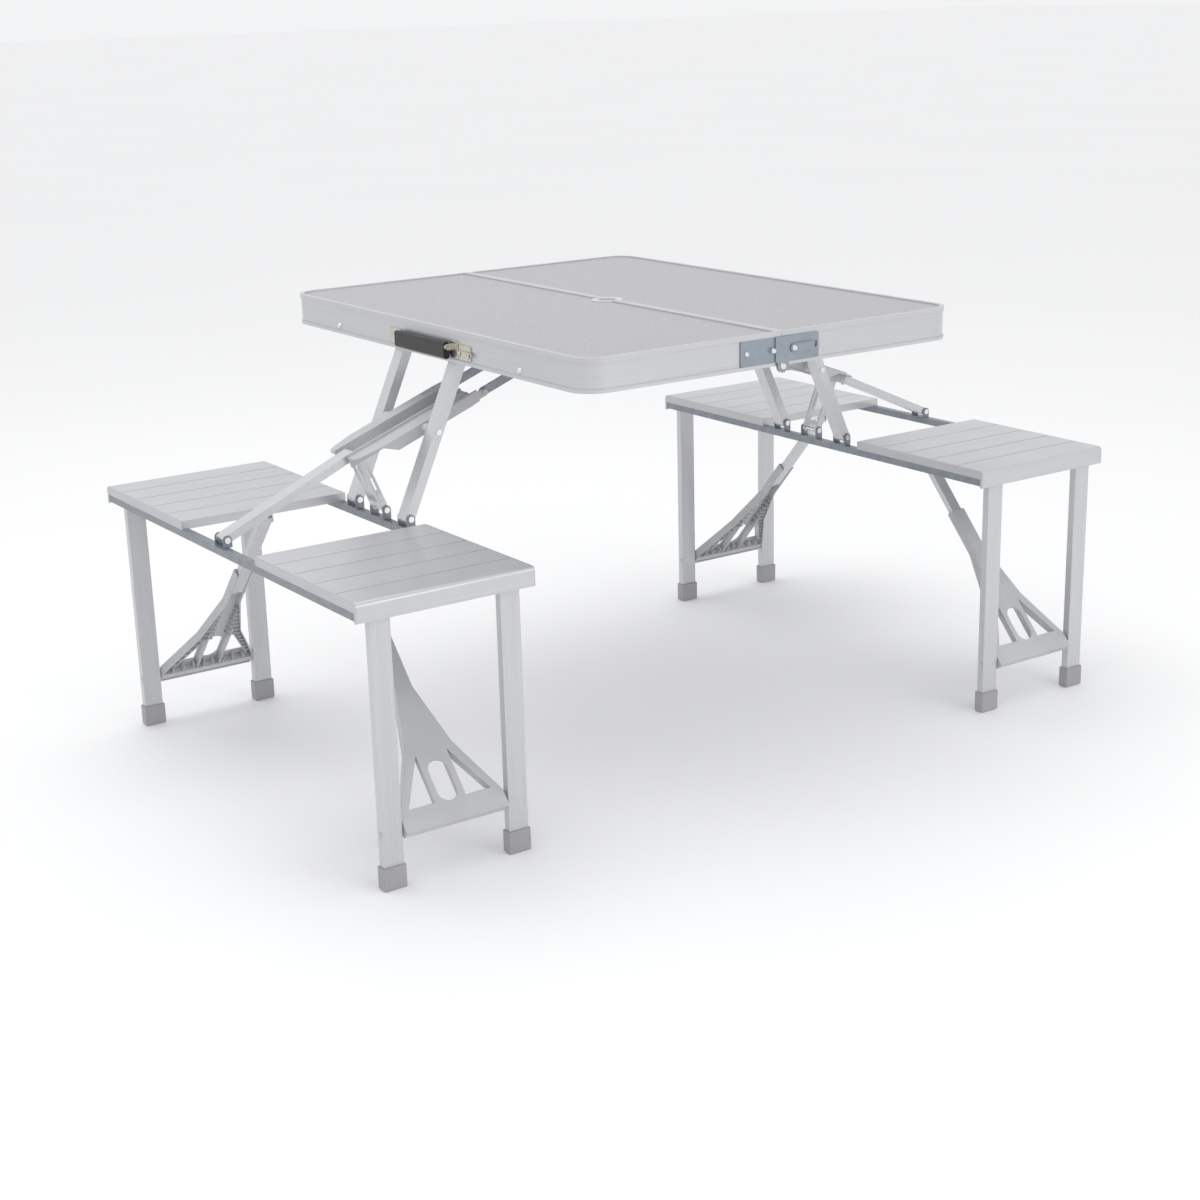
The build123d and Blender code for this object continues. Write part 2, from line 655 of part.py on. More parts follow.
def build_support_yoke(side_name, side):
    """The moulded cross yoke: a channel open below, with a trough on top for the folded arm."""
    depth = SHELL_SKIRT + SHELL_TOP
    trough_outer = TROUGH_HALF_WIDTH + TROUGH_WALL
    trough_bottom = FLOOR_THICKNESS - FLOOR_DROP
    beyond = SHELL_HIGH + TAB_INNER
    with BuildPart() as yoke:
        with BuildSketch(shell_plane(-SHELL_SKIRT)):
            add(shell_outline(0))
        extrude(amount=depth)
        with BuildSketch(shell_plane(-SHELL_SKIRT)):
            add(shell_outline(SHELL_WALL))
        extrude(amount=depth - SHELL_WEB, mode=Mode.SUBTRACT)
        shell_band(
            trough_bottom, SHELL_TOP + TROUGH_RISE - trough_bottom, SHELL_LOW, SHELL_WEB_END, trough_outer
        )
        shell_band(-FLOOR_DROP, FLOOR_DROP, FLOOR_START, SHELL_WEB_END, trough_outer)
        shell_band(
            trough_bottom, 2 * depth, 2 * SHELL_LOW, beyond, TROUGH_HALF_WIDTH, mode=Mode.SUBTRACT
        )
        shell_band(
            -2 * SHELL_SKIRT, 2 * depth, 2 * SHELL_LOW, FLOOR_START, TROUGH_HALF_WIDTH,
            mode=Mode.SUBTRACT,
        )
        shell_band(-2 * SHELL_SKIRT, 2 * depth, SHELL_WEB_END, beyond, TAB_INNER, mode=Mode.SUBTRACT)
        for end in ENDS.values():
            shell_band(
                -SHELL_SKIRT, depth, STRAP_SLOT_START, SHELL_WEB_END, STRAP_SLOT / 2, end * STRAP_Y,
                mode=Mode.SUBTRACT,
            )
            with BuildSketch(across(end * (trough_outer + SHELL_HALF_WIDTH) / 2)) as under:
                with BuildLine():
                    Polyline(
                        shell_point(SHELL_LOW - SHELL_WALL, -2 * SHELL_SKIRT),
                        shell_point(SHELL_LOW - SHELL_WALL, SHELL_TOP - SHELL_FLANGE),
                        shell_point(SKIRT_START, SHELL_TOP - SHELL_FLANGE),
                        shell_point(SKIRT_FULL, -SHELL_SKIRT),
                        shell_point(SKIRT_FULL, -2 * SHELL_SKIRT),
                        close=True,
                    )
                make_face()
            extrude(
                under.sketch, amount=(SHELL_HALF_WIDTH - trough_outer) / 2, both=True,
                mode=Mode.SUBTRACT,
            )
            tab_y = end * (TAB_INNER + SHELL_WALL / 2)
            bar(shell_point(SHELL_WEB_END, 0), TAB, tab_y, SHELL_WALL, 2 * TAB_RADIUS)
            pin_across(TAB, end * (TAB_INNER + SHELL_WALL + 0.5), 2.6, PIN_RADIUS + 1.5)
            boss_inner = SHELL_HALF_WIDTH - SHELL_WALL
            pin_across(CROSS, end * (boss_inner + BOSS_OUTER) / 2, BOSS_OUTER - boss_inner, EAR_RADIUS)
            bore = 2 * (BOSS_OUTER - boss_inner)
            pin_across(CROSS, end * SHELL_HALF_WIDTH, bore + 20, PIN_RADIUS + RUNNING, Mode.SUBTRACT)
        finish_side(side)
    keep(yoke, f"{side_name}_support_yoke")


def build_support_bars(side_name, side):
    """The single outer arm, the two steel straps and the forked prop of one side."""
    with BuildPart() as arm:
        bar(ARM_PIVOT, KNEE, 0, ARM_WIDTH, ARM_DEPTH, BAR_WALL)
        pin_across(ARM_PIVOT, 0, ARM_WIDTH + 2, PIN_RADIUS + RUNNING, Mode.SUBTRACT)
        pin_across(KNEE, 0, ARM_WIDTH + 3, PIN_RADIUS + 1)
        finish_side(side)
    keep(arm, f"{side_name}_outer_arm")
    with BuildPart() as straps:
        for end in ENDS.values():
            bar(STRAP_PIVOT, TAB, end * STRAP_Y, STRAP_WIDTH, STRAP_DEPTH)
            pin_across(STRAP_PIVOT, end * STRAP_Y, 2 * STRAP_WIDTH, PIN_RADIUS + RUNNING, Mode.SUBTRACT)
            head_y = STRAP_Y - STRAP_WIDTH / 2 - STRAP_HEAD / 2
            pin_across(TAB, end * head_y, STRAP_HEAD, PIN_RADIUS + 1.5)
        finish_side(side)
    keep(straps, f"{side_name}_straps")
    with BuildPart() as prop:
        for end in ENDS.values():
            tip = polar(LOWER_PIVOT, PROP_ANGLE, PROP_LENGTH)
            bar(LOWER_PIVOT, tip, end * PROP_Y, PROP_WIDTH, PROP_DEPTH)
            with BuildSketch(across(end * PROP_Y)):
                with Locations(towards(LOWER_PIVOT, tip, 0.6 * PROP_LENGTH)):
                    SlotCenterToCenter(PROP_SLIT, PROP_SLIT_WIDTH, rotation=PROP_ANGLE)
            extrude(amount=PROP_WIDTH, both=True, mode=Mode.SUBTRACT)
        web_middle = polar(LOWER_PIVOT, PROP_ANGLE, 11)
        with BuildSketch(across(0)):
            with Locations(web_middle):
                Rectangle(7, PROP_DEPTH, rotation=PROP_ANGLE)
        extrude(amount=PROP_Y, both=True)
        pin_across(LOWER_PIVOT, 0, 3 * PROP_Y, PIN_RADIUS + RUNNING, Mode.SUBTRACT)
        finish_side(side)
    keep(prop, f"{side_name}_prop")


# ---------------------------------------------------------------- benches

CLEVIS_DEPTH = 14
CLEVIS_DROP = 6
CLEVIS_EAR = 1.8
CLEVIS_PIN = 2.5


def build_rails(side_name, side):
    """The two dark steel rails, channels open below, that the seats and brackets sit on."""
    with BuildPart() as rails:
        for middle in (BENCH_INNER + RAIL_WIDTH / 2, BENCH_OUTER - RAIL_WIDTH / 2):
            with Locations((middle, 0, RAIL_TOP - RAIL_HEIGHT / 2)):
                Box(RAIL_WIDTH, 2 * RAIL_HALF_LENGTH, RAIL_HEIGHT)
            with Locations((middle, 0, RAIL_TOP - RAIL_HEIGHT / 2 - RAIL_WALL)):
                Box(RAIL_WIDTH - 2 * RAIL_WALL, 2 * RAIL_HALF_LENGTH, RAIL_HEIGHT, mode=Mode.SUBTRACT)
        for end in ENDS.values():
            pin_along(
                (end * LEG_Y, HINGE_Z), BENCH_MIDDLE, BENCH_OUTER - BENCH_INNER - 2,
                ROD_RADIUS + RUNNING, Mode.SUBTRACT,
            )
        finish_side(side)
    keep(rails, f"{side_name}_bench_rails")


def build_rail_brackets(side_name, side):
    """The clevis brackets on the rails: uprights and prop inside, the arm outside."""
    with BuildPart() as brackets:
        for end in ENDS.values():
            ear_pair(RIGHT, LOWER_PIVOT, end * UPRIGHT_Y, UPRIGHT_WIDTH, RAIL_TOP)
        ear_pair(RIGHT, LOWER_PIVOT, 0, 2 * PROP_Y + PROP_WIDTH, RAIL_TOP)
        ear_pair(RIGHT, ARM_PIVOT, 0, ARM_WIDTH, RAIL_TOP)
        finish_side(side)
    keep(brackets, f"{side_name}_rail_brackets")


def clevis(end):
    """The small bracket under the seat's inner slat that carries the brace tube."""
    base_z = RAIL_TOP - 1
    gap = TUBE_WIDTH / 2 + EAR_GAP
    middle_y = end * (SEAT_INNER_Y + CLEVIS_DEPTH)
    with Locations((BENCH_MIDDLE, middle_y, base_z)):
        Box(2 * (gap + CLEVIS_EAR), 2 * CLEVIS_DEPTH, 2)
    for outwards in (-1, 1):
        with BuildSketch(along(BENCH_MIDDLE + outwards * (gap + CLEVIS_EAR / 2))) as profile:
            with Locations((end * BRACE_Y, HINGE_Z)):
                Circle(CLEVIS_DROP)
            with Locations((end * BRACE_Y, (HINGE_Z + base_z) / 2)):
                Rectangle(2 * CLEVIS_DROP, base_z - HINGE_Z)
            with Locations((end * BRACE_Y, HINGE_Z)):
                Circle(CLEVIS_PIN + RUNNING, mode=Mode.SUBTRACT)
        extrude(profile.sketch, amount=CLEVIS_EAR / 2, both=True)


def build_bench_rods(side_name, side):
    """Leg hinge rods, brace clevises with their pins, and the rail bracket pins."""
    rod_length = BENCH_OUTER - BENCH_INNER - 2 * RAIL_WIDTH + 2 * RAIL_WALL + 6
    with BuildPart() as rods:
        for end in ENDS.values():
            pin_along((end * LEG_Y, HINGE_Z), BENCH_MIDDLE, rod_length, ROD_RADIUS)
            headed_pin(LOWER_PIVOT, end * UPRIGHT_Y, UPRIGHT_WIDTH)
            clevis(end)
            pin_along((end * BRACE_Y, HINGE_Z), BENCH_MIDDLE, TUBE_WIDTH + 6, CLEVIS_PIN)
        headed_pin(LOWER_PIVOT, 0, 2 * PROP_Y + PROP_WIDTH)
        headed_pin(ARM_PIVOT, 0, ARM_WIDTH)
        finish_side(side)
    keep(rods, f"{side_name}_bench_rods")


def slat_profile(end, low_y, high_y):
    """A slat's section: a skin with two side flanges, open below."""
    width = high_y - low_y
    middle = end * (low_y + high_y) / 2
    with Locations((middle, SEAT_TOP - SLAT_HEIGHT / 2)):
        Rectangle(width, SLAT_HEIGHT)
    with Locations((middle, SEAT_TOP - SLAT_HEIGHT / 2 - SLAT_SKIN)):
        Rectangle(width - 2 * SLAT_SKIN, SLAT_HEIGHT, mode=Mode.SUBTRACT)


def apron_profile(end, low_y):
    """The outer slat's section: the skin turns down over the bench's edge as an apron."""
    bottom = SEAT_TOP - APRON_HEIGHT
    middle_y = (low_y + SEAT_OUTER_Y) / 2
    middle_z = SEAT_TOP - APRON_HEIGHT / 2
    width = SEAT_OUTER_Y - low_y
    with Locations((end * middle_y, middle_z)):
        Rectangle(width, APRON_HEIGHT)
    with Locations((end * (middle_y - APRON_THICKNESS), middle_z - APRON_THICKNESS)):
        Rectangle(width, APRON_HEIGHT, mode=Mode.SUBTRACT)
    with Locations((end * (low_y + SLAT_SKIN / 2), bottom + APRON_HEIGHT - SLAT_HEIGHT / 2)):
        Rectangle(SLAT_SKIN, SLAT_HEIGHT)


def build_slats(side_name, side, end_name, end):
    """Five aluminium seat slats; the outer one carries the apron."""
    pitch = (SEAT_OUTER_Y - SEAT_INNER_Y + SLAT_GAP) / SLAT_COUNT
    span = BENCH_OUTER - BENCH_INNER - 2 * TRIM_THICKNESS
    with BuildPart() as slats:
        for index in range(SLAT_COUNT - 1):
            low_y = SEAT_INNER_Y + index * pitch
            with BuildSketch(along(BENCH_MIDDLE)):
                slat_profile(end, low_y, low_y + pitch - SLAT_GAP)
            extrude(amount=span / 2, both=True)
        with BuildSketch(along(BENCH_MIDDLE)):
            apron_profile(end, SEAT_INNER_Y + (SLAT_COUNT - 1) * pitch)
        extrude(amount=span / 2, both=True)
        rounded = slats.edges().filter_by(Axis.X).group_by(Axis.Z)[-1].sort_by(Axis.Y)
        fillet(rounded[-1] if end == REAR else rounded[0], radius=APRON_RADIUS)
        finish_side(side)
    keep(slats, f"{side_name}_{end_name}_slats")


def build_trims(side_name, side):
    """Light side strips over the slat ends, and the plastic caps on the apron ends."""
    seat_length = SEAT_OUTER_Y - SEAT_INNER_Y
    with BuildPart() as trims:
        for x in (BENCH_INNER + TRIM_THICKNESS / 2, BENCH_OUTER - TRIM_THICKNESS / 2):
            for end in ENDS.values():
                with Locations((x, end * (SEAT_INNER_Y + seat_length / 2), SEAT_TOP - SLAT_HEIGHT / 2)):
                    Box(TRIM_THICKNESS, seat_length, SLAT_HEIGHT)
                with Locations((x, end * (SEAT_OUTER_Y - 2), SEAT_TOP - APRON_HEIGHT / 2)):
                    Box(TRIM_THICKNESS, 4, APRON_HEIGHT)
        corners = trims.edges().filter_by(Axis.X).group_by(Axis.Z)[-1].sort_by(Axis.Y)
        fillet([*corners[:2], *corners[-2:]], radius=APRON_RADIUS)
        finish_side(side)
    keep(trims, f"{side_name}_seat_trims")


# ---------------------------------------------------------------- legs


def build_legs(name, side, end):
    """A pair of flat aluminium leg tubes, drilled at the hinge rod."""
    top = HINGE_Z
    bottom = CAP_FLOOR
    with BuildPart() as legs:
        for x in (LEG_INNER, LEG_OUTER):
            with BuildSketch(along(x)):
                with Locations((end * LEG_Y, (top + bottom) / 2)):
                    Rectangle(LEG_DEPTH, top - bottom)
                with Locations((end * LEG_Y, top)):
                    Circle(LEG_DEPTH / 2)
            extrude(amount=LEG_WIDTH / 2, both=True)
            with BuildSketch(along(x)):
                with Locations((end * LEG_Y, (top + bottom) / 2)):
                    Rectangle(LEG_DEPTH - 2 * LEG_WALL, top - bottom + 4 * LEG_DEPTH)
            extrude(amount=LEG_WIDTH / 2 - LEG_WALL, both=True, mode=Mode.SUBTRACT)
            pin_along((end * LEG_Y, HINGE_Z), x, LEG_WIDTH + 2, ROD_RADIUS + RUNNING, Mode.SUBTRACT)
        for x in (LEG_INNER - LEG_WIDTH / 2 - 0.6, LEG_OUTER + LEG_WIDTH / 2 + 0.6):
            pin_along((end * LEG_Y, BRACE_PIN_Z), x, 1.2, ROD_RADIUS + 1)
        finish_side(side)
    keep(legs, f"{name}_legs")


def build_foot_caps(name, side, end):
    """Moulded caps that plug over the ends of a pair of legs."""
    with BuildPart() as caps:
        for x in (LEG_INNER, LEG_OUTER):
            with Locations((x, end * LEG_Y, CAP_HEIGHT / 2)):
                Box(CAP_WIDTH, CAP_DEPTH, CAP_HEIGHT)
        fillet(caps.edges().group_by(Axis.Z)[0], radius=2.5)
        for x in (LEG_INNER, LEG_OUTER):
            with Locations((x, end * LEG_Y, CAP_FLOOR + CAP_HEIGHT / 2)):
                Box(LEG_WIDTH, LEG_DEPTH, CAP_HEIGHT, mode=Mode.SUBTRACT)
        finish_side(side)
    keep(caps, f"{name}_foot_caps")


def brace_plane(end, rise):
    """A plane along the brace from its knee: local y towards the leg pins, z out of the top face."""
    angle = radians(BRACE_ANGLE)
    normal = Vector(0, -end * sin(angle), cos(angle))
    origin = Vector(BENCH_MIDDLE, end * BRACE_KNEE[0], BRACE_KNEE[1]) + normal * rise
    return Plane(origin=origin, x_dir=(end, 0, 0), z_dir=normal)


def yoke_outline(inset):
    """Plan outline of a leg yoke: a narrow sleeve that flares to the leg pins."""
    neck = TUBE_WIDTH / 2 + 0.6 + YOKE_WALL - inset
    foot = YOKE_HALF_WIDTH - inset
    with BuildSketch(mode=Mode.PRIVATE) as outline:
        with BuildLine():
            Polyline(
                (-neck, -YOKE_SLEEVE),
                (neck, -YOKE_SLEEVE),
                (neck, 30),
                (0.45 * foot, 0.55 * YOKE_LENGTH),
                (foot, YOKE_LENGTH - YOKE_FOOT),
                (foot, YOKE_LENGTH + YOKE_FOOT - inset),
                (-foot, YOKE_LENGTH + YOKE_FOOT - inset),
                (-foot, YOKE_LENGTH - YOKE_FOOT),
                (-0.45 * foot, 0.55 * YOKE_LENGTH),
                (-neck, 30),
                close=True,
            )
        make_face()
    return outline.sketch


def build_leg_yoke(name, side, end):
    """The moulded leg yoke: a web with three openings, and skirts and ribs on its under side."""
    slot_low = YOKE_LENGTH - 78
    slot_high = YOKE_LENGTH - 18
    with BuildPart() as yoke:
        with BuildSketch(brace_plane(end, -YOKE_SKIRT)):
            add(yoke_outline(0))
            add(yoke_outline(YOKE_WALL), mode=Mode.SUBTRACT)
        extrude(amount=YOKE_SKIRT + YOKE_WEB_LOW)
        with BuildSketch(brace_plane(end, YOKE_WEB_LOW)):
            add(yoke_outline(0))
            with Locations((0, (slot_low + slot_high) / 2)):
                SlotOverall(slot_high - slot_low, 30, rotation=90, mode=Mode.SUBTRACT)
            for outwards in (-1, 1):
                with BuildLine():
                    Polyline(
                        (outwards * 24, YOKE_LENGTH - 90),
                        (outwards * 24, YOKE_LENGTH - 20),
                        (outwards * 64, YOKE_LENGTH - 20),
                        close=True,
                    )
                make_face(mode=Mode.SUBTRACT)
        extrude(amount=YOKE_WEB)
        with BuildSketch(brace_plane(end, -YOKE_SKIRT)):
            for outwards in (-1, 1):
                with Locations((outwards * 19.5, YOKE_LENGTH - 60)):
                    Rectangle(YOKE_WALL, 100)
            with Locations((0, YOKE_LENGTH)):
                Rectangle(2 * YOKE_HALF_WIDTH - 2, 2 * YOKE_SKIRT)
        extrude(amount=YOKE_SKIRT + YOKE_WEB_LOW)
        with BuildSketch(brace_plane(end, 0)):
            with Locations((0, -YOKE_SLEEVE)):
                Rectangle(TUBE_WIDTH + 1.2, 4 * YOKE_WALL)
        extrude(amount=YOKE_SKIRT, both=True, mode=Mode.SUBTRACT)
        knee = (end * BRACE_KNEE[0], BRACE_KNEE[1])
        pin_along(knee, BENCH_MIDDLE, 2 * TUBE_WIDTH, CLEVIS_PIN + RUNNING, Mode.SUBTRACT)
        finish_side(side)
    keep(yoke, f"{name}_leg_yoke")


def build_brace_tube(name, side, end):
    """The flat aluminium brace tube, with its knee pin."""
    top = (end * BRACE_Y, HINGE_Z)
    knee = (end * BRACE_KNEE[0], BRACE_KNEE[1])
    turn = heading(top, knee)
    middle = ((top[0] + knee[0]) / 2, (top[1] + knee[1]) / 2)
    with BuildPart() as tube:
        with BuildSketch(along(BENCH_MIDDLE)):
            with Locations(middle):
                SlotCenterToCenter(TUBE_LENGTH, TUBE_DEPTH, rotation=turn)
        extrude(amount=TUBE_WIDTH / 2, both=True)
        with BuildSketch(along(BENCH_MIDDLE)):
            with Locations(middle):
                Rectangle(TUBE_LENGTH + 2 * TUBE_DEPTH, TUBE_DEPTH - 2 * TUBE_WALL, rotation=turn)
        extrude(amount=TUBE_WIDTH / 2 - TUBE_WALL, both=True, mode=Mode.SUBTRACT)
        pin_along(top, BENCH_MIDDLE, 2 * TUBE_WIDTH, CLEVIS_PIN + RUNNING, Mode.SUBTRACT)
        pin_along(knee, BENCH_MIDDLE, TUBE_WIDTH + 7.4, CLEVIS_PIN)
        finish_side(side)
    keep(tube, f"{name}_brace_tube")


for side_name, side in SIDES.items():
    build_frame(side_name, side)
    build_panel(side_name, side)
    build_boss(side_name, side)
    build_table_brackets(side_name, side)
    build_uprights(side_name, side)
    build_support_yoke(side_name, side)
    build_support_bars(side_name, side)
    build_rails(side_name, side)
    build_rail_brackets(side_name, side)
    build_bench_rods(side_name, side)
    build_trims(side_name, side)
    for end_name, end in ENDS.items():
        build_slats(side_name, side, end_name, end)
        leg_set = f"{side_name}_{end_name}"
        build_legs(leg_set, side, end)
        build_foot_caps(leg_set, side, end)
        build_leg_yoke(leg_set, side, end)
        build_brace_tube(leg_set, side, end)
build_hinge_plates()
build_plate_rivets()
for end_name, end in ENDS.items():
    build_latch_lever(end_name, end)
build_handle_grip()
build_handle_fittings()
build_clasp()
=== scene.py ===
"""The looks of the folding picnic table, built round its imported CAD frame. Metres, row frame."""

import json
import math

import bmesh
import bpy
from mathutils import Matrix, Vector


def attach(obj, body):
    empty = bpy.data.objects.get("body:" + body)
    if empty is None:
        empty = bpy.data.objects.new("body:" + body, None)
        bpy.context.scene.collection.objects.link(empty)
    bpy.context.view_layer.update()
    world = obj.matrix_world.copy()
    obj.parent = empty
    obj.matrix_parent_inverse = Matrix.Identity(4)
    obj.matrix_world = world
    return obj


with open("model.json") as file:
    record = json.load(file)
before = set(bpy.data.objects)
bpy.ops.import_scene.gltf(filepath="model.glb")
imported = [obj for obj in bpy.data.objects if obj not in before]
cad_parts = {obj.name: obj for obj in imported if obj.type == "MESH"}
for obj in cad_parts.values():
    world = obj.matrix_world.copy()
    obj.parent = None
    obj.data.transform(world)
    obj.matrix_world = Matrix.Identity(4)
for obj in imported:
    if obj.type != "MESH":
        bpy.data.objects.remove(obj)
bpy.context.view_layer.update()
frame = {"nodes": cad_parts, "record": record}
NODES = frame["nodes"]

SIDES = {"left": -1, "right": 1}
ENDS = {"front": -1, "rear": 1}
MM = 0.001

# Camera, at the photograph's viewing angle
CAMERA_PLACE = (-1.79526, -2.58051, 1.13657)
CAMERA_AZIMUTH = -34.40
CAMERA_ELEVATION = 16.92
CAMERA_ROLL = -1.495
CAMERA_FIELD = 33.217


# ---------------------------------------------------------------- materials


class Surface:
    """A node material with one Principled shader, rounded edges and a few texture helpers."""

    def __init__(self, name, colour, metallic, roughness, edge=0.3):
        self.material = bpy.data.materials.new(name)
        self.material.use_nodes = True
        self.material.diffuse_color = (*colour, 1)
        self.tree = self.material.node_tree
        self.shader = self.tree.nodes["Principled BSDF"]
        self.colour = colour
        self.roughness = roughness
        self.put("Base Color", (*colour, 1))
        self.put("Metallic", metallic)
        self.put("Roughness", roughness)
        self.place = self.node("ShaderNodeTexCoord").outputs["Object"]
        bevel = self.node("ShaderNodeBevel", samples=4)
        bevel.inputs["Radius"].default_value = edge * MM
        self.normal = bevel.outputs["Normal"]
        self.link(self.normal, self.shader.inputs["Normal"])

    def node(self, kind, **settings):
        made = self.tree.nodes.new(kind)
        for key, value in settings.items():
            setattr(made, key, value)
        return made

    def link(self, output, socket):
        self.tree.links.new(output, socket)

    def put(self, socket, value):
        self.shader.inputs[socket].default_value = value

    def noise(self, scale, detail=3.0):
        """Noise with its own scale along X, Y and Z, in features per metre."""
        mapping = self.node("ShaderNodeMapping")
        mapping.inputs["Scale"].default_value = scale
        self.link(self.place, mapping.inputs["Vector"])
        noise = self.node("ShaderNodeTexNoise")
        noise.inputs["Scale"].default_value = 1
        noise.inputs["Detail"].default_value = detail
        self.link(mapping.outputs["Vector"], noise.inputs["Vector"])
        return noise.outputs["Fac"]

    def spread(self, value, low, high, start=0.3, stop=0.7):
        """The value, moved from the range start to stop over to the range low to high."""
        spread = self.node("ShaderNodeMapRange")
        for socket, number in (("From Min", start), ("From Max", stop), ("To Min", low), ("To Max", high)):
            spread.inputs[socket].default_value = number
        self.link(value, spread.inputs["Value"])
        return spread.outputs["Result"]

    def tint(self, value, low, high, start=0.3, stop=0.7):
        """Vary the base colour's brightness with the value, between two factors."""
        mix = self.node("ShaderNodeMix", data_type="RGBA")
        colour_sockets = [s for s in mix.inputs if s.type == "RGBA"]
        colour_sockets[0].default_value = (*(min(1, low * part) for part in self.colour), 1)
        colour_sockets[1].default_value = (*(min(1, high * part) for part in self.colour), 1)
        self.link(self.spread(value, 0, 1, start, stop), mix.inputs["Factor"])
        output = [s for s in mix.outputs if s.type == "RGBA"][0]
        self.link(output, self.shader.inputs["Base Color"])

    def vary_roughness(self, value, amount):
        self.link(
            self.spread(value, self.roughness - amount, self.roughness + amount),
            self.shader.inputs["Roughness"],
        )

    def bump(self, value, strength, height):
        """Raise the surface with the value, on top of any bump already there."""
        bump = self.node("ShaderNodeBump")
        bump.inputs["Strength"].default_value = strength
        bump.inputs["Distance"].default_value = height * MM
        self.link(value, bump.inputs["Height"])
        self.link(self.normal, bump.inputs["Normal"])
        self.normal = bump.outputs["Normal"]
        self.link(self.normal, self.shader.inputs["Normal"])


def drawn_metal(name, colour, grain, roughness=0.36, metallic=0.55, contrast=0.05):
    """Extruded, anodised aluminium: fine die lines along the axis where the grain's scale is low."""
    surface = Surface(name, colour, metallic, roughness)
    lines = surface.noise(grain)
    haze = surface.noise((9, 9, 9))
    surface.tint(lines, 1 - contrast, 1 + contrast)
    surface.vary_roughness(haze, 0.06)
    surface.bump(lines, 0.35, 0.12)
    return surface.material


def sheet_steel(name, colour, roughness, metallic, mottle=0.12):
    """Plated or painted steel, a little mottled."""
    surface = Surface(name, colour, metallic, roughness, edge=0.4)
    surface.tint(surface.noise((60, 60, 60), 5), 1 - mottle, 1 + mottle)
    surface.vary_roughness(surface.noise((220, 220, 220)), 0.07)
    surface.bump(surface.noise((900, 900, 900)), 0.2, 0.05)
    return surface.material


def moulded_plastic(name, colour, roughness, grain=1400):
    """Injection-moulded plastic with a fine spark-eroded grain and faint flow marks."""
    surface = Surface(name, colour, 0, roughness, edge=0.8)
    surface.tint(surface.noise((14, 14, 14), 2), 0.95, 1.05)
    surface.vary_roughness(surface.noise((40, 40, 40)), 0.05)
    surface.bump(surface.noise((grain, grain, grain), 2), 0.3, 0.08)
    return surface.material


def speckled_laminate(name, colour):
    """A pale laminate printed with fine light and dark specks."""
    surface = Surface(name, colour, 0, 0.42, edge=0.3)
    surface.put("Coat Weight", 0.15)
    surface.put("Coat Roughness", 0.3)
    surface.tint(surface.noise((650, 650, 650), 4), 0.80, 1.16, 0.36, 0.64)
    surface.bump(surface.noise((1500, 1500, 1500)), 0.15, 0.05)
    return surface.material


ALUMINIUM = (0.58, 0.585, 0.60)
ALONG_X = (5, 900, 900)
ALONG_Y = (900, 5, 900)
ALONG_Z = (900, 900, 5)
ROUND_THE_EDGE = (5, 5, 1300)

MATERIALS = {
    "frame_aluminium": drawn_metal("frame_aluminium", ALUMINIUM, ROUND_THE_EDGE, 0.33),
    "slat_aluminium": drawn_metal("slat_aluminium", ALUMINIUM, ALONG_X, 0.36),
    "trim_aluminium": drawn_metal("trim_aluminium", (0.52, 0.525, 0.54), ALONG_Y, 0.36),
    "leg_aluminium": drawn_metal("leg_aluminium", ALUMINIUM, ALONG_Z, 0.36),
    "satin_aluminium": drawn_metal("satin_aluminium", (0.63, 0.635, 0.65), ALONG_Z, 0.34),
    "laminate": speckled_laminate("laminate", (0.40, 0.395, 0.41)),
    "umbrella_plastic": moulded_plastic("umbrella_plastic", (0.62, 0.62, 0.63), 0.45),
    "plate_steel": sheet_steel("plate_steel", (0.30, 0.335, 0.385), 0.36, 0.55, 0.06),
    "zinc_rivet": sheet_steel("zinc_rivet", (0.78, 0.79, 0.81), 0.24, 1.0, 0.05),
    "grip_plastic": moulded_plastic("grip_plastic", (0.012, 0.012, 0.014), 0.34),
    "nickel_plate": sheet_steel("nickel_plate", (0.60, 0.57, 0.50), 0.27, 1.0),
    "rail_steel": sheet_steel("rail_steel", (0.25, 0.275, 0.305), 0.38, 0.65),
    "yoke_plastic": moulded_plastic("yoke_plastic", (0.52, 0.525, 0.54), 0.44),
    "cap_plastic": moulded_plastic("cap_plastic", (0.36, 0.36, 0.37), 0.5),
}


def dress_cad_nodes():
    """Give every CAD node the finish that its slot in the record names."""
    for part in frame["record"]["subparts"]:
        slots = NODES[part["node"]].data.materials
        finish = MATERIALS[part["material_slot"]]
        if not slots:
            slots.append(finish)
        for index in range(len(slots)):
            slots[index] = finish


# ---------------------------------------------------------------- moulded ribs

# Leg yoke, in mm: reach is measured from the brace knee, widths from the yoke's middle line
BENCH_MIDDLE = 549
KNEE_Y = 253.65
KNEE_Z = 243.03
LEG_PIN_Y = 400
LEG_PIN_Z = 80
YOKE_LENGTH = math.hypot(LEG_PIN_Y - KNEE_Y, KNEE_Z - LEG_PIN_Z)
RIB = 1.6
RIB_DEPTH = 11
RIB_PITCH = 12
RIB_START = 56
TUBE_CHANNEL = 12
OPENING_START = YOKE_LENGTH - 90
OPENING_END = YOKE_LENGTH - 20
OPENING_INNER = 24
OPENING_OUTER = 64
FLARE_REACH = 30
WAIST_REACH = 0.55 * YOKE_LENGTH
FOOT_REACH = YOKE_LENGTH - 12
NECK_INSIDE = 10.6
WAIST_INSIDE = 33
FOOT_INSIDE = 77
FOOT_RIBS = 4
FOOT_RIB_START = 8
FOOT_RIB_PITCH = 18
FOOT_RIB_LENGTH = 13


